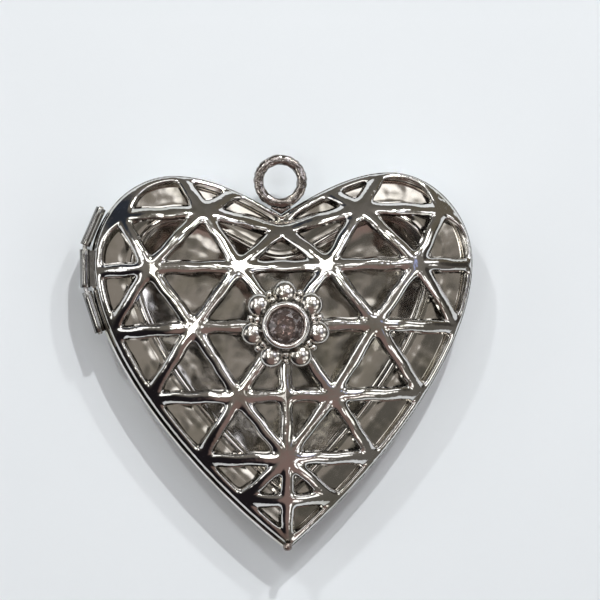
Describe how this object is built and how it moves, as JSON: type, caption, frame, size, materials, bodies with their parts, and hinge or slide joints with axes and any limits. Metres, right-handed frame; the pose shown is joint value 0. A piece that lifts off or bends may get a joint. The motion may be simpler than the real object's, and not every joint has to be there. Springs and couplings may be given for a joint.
{
  "type": "locket",
  "caption": "Heart-shaped openwork photo locket: domed lattice cover with a stone-set flower, hinged to a dished solid back that holds a photo frame, with a soldered ring for a chain",
  "frame": {"origin": "on the flat middle of the back shell, straight under the centre of the flower; the heart's mirror line is the YZ plane", "axes": "+Z out of the front cover, +Y from the tip towards the suspension ring, hinge on the -X side"},
  "size_m": [0.0294, 0.0297, 0.0094],
  "materials": {
    "back_plating": "mirror-polished rhodium-look plating on stamped brass",
    "frame_plating": "bright plating with a rolled bead",
    "cover_plating": "high-polish rhodium-look plating on a cast lattice",
    "hinge_plating": "plated drawn tube, cut ends",
    "pin_wire": "drawn wire",
    "ring_plating": "plated ring with a slightly rough skin and a solder fillet",
    "rosette_plating": "polished plated casting",
    "cup_plating": "polished rolled lip",
    "smoky_crystal": "faceted smoky glass with a foiled back",
    "rivet_metal": "plated rivet"
  },
  "bodies": {
    "back": {"back_shell": "back_plating", "back_photo_frame": "frame_plating", "upper_knuckle": "hinge_plating", "lower_knuckle": "hinge_plating", "hinge_pin": "pin_wire", "suspension_ring": "ring_plating", "ring_lug": "ring_plating"},
    "cover": {"front_cover": "cover_plating", "middle_knuckle": "hinge_plating", "rosette": "rosette_plating", "stone_cup": "cup_plating", "crystal": "smoky_crystal", "rosette_rivet": "rivet_metal", "tip_catch": "cover_plating"}
  },
  "joints": [
    {"name": "cover_hinge", "type": "hinge", "parent": "back", "child": "cover", "pos_m": [-0.0147, 0.0046, 0.00345], "axis": [0, -1, 0], "range_deg": [0, 170]}
  ]
}
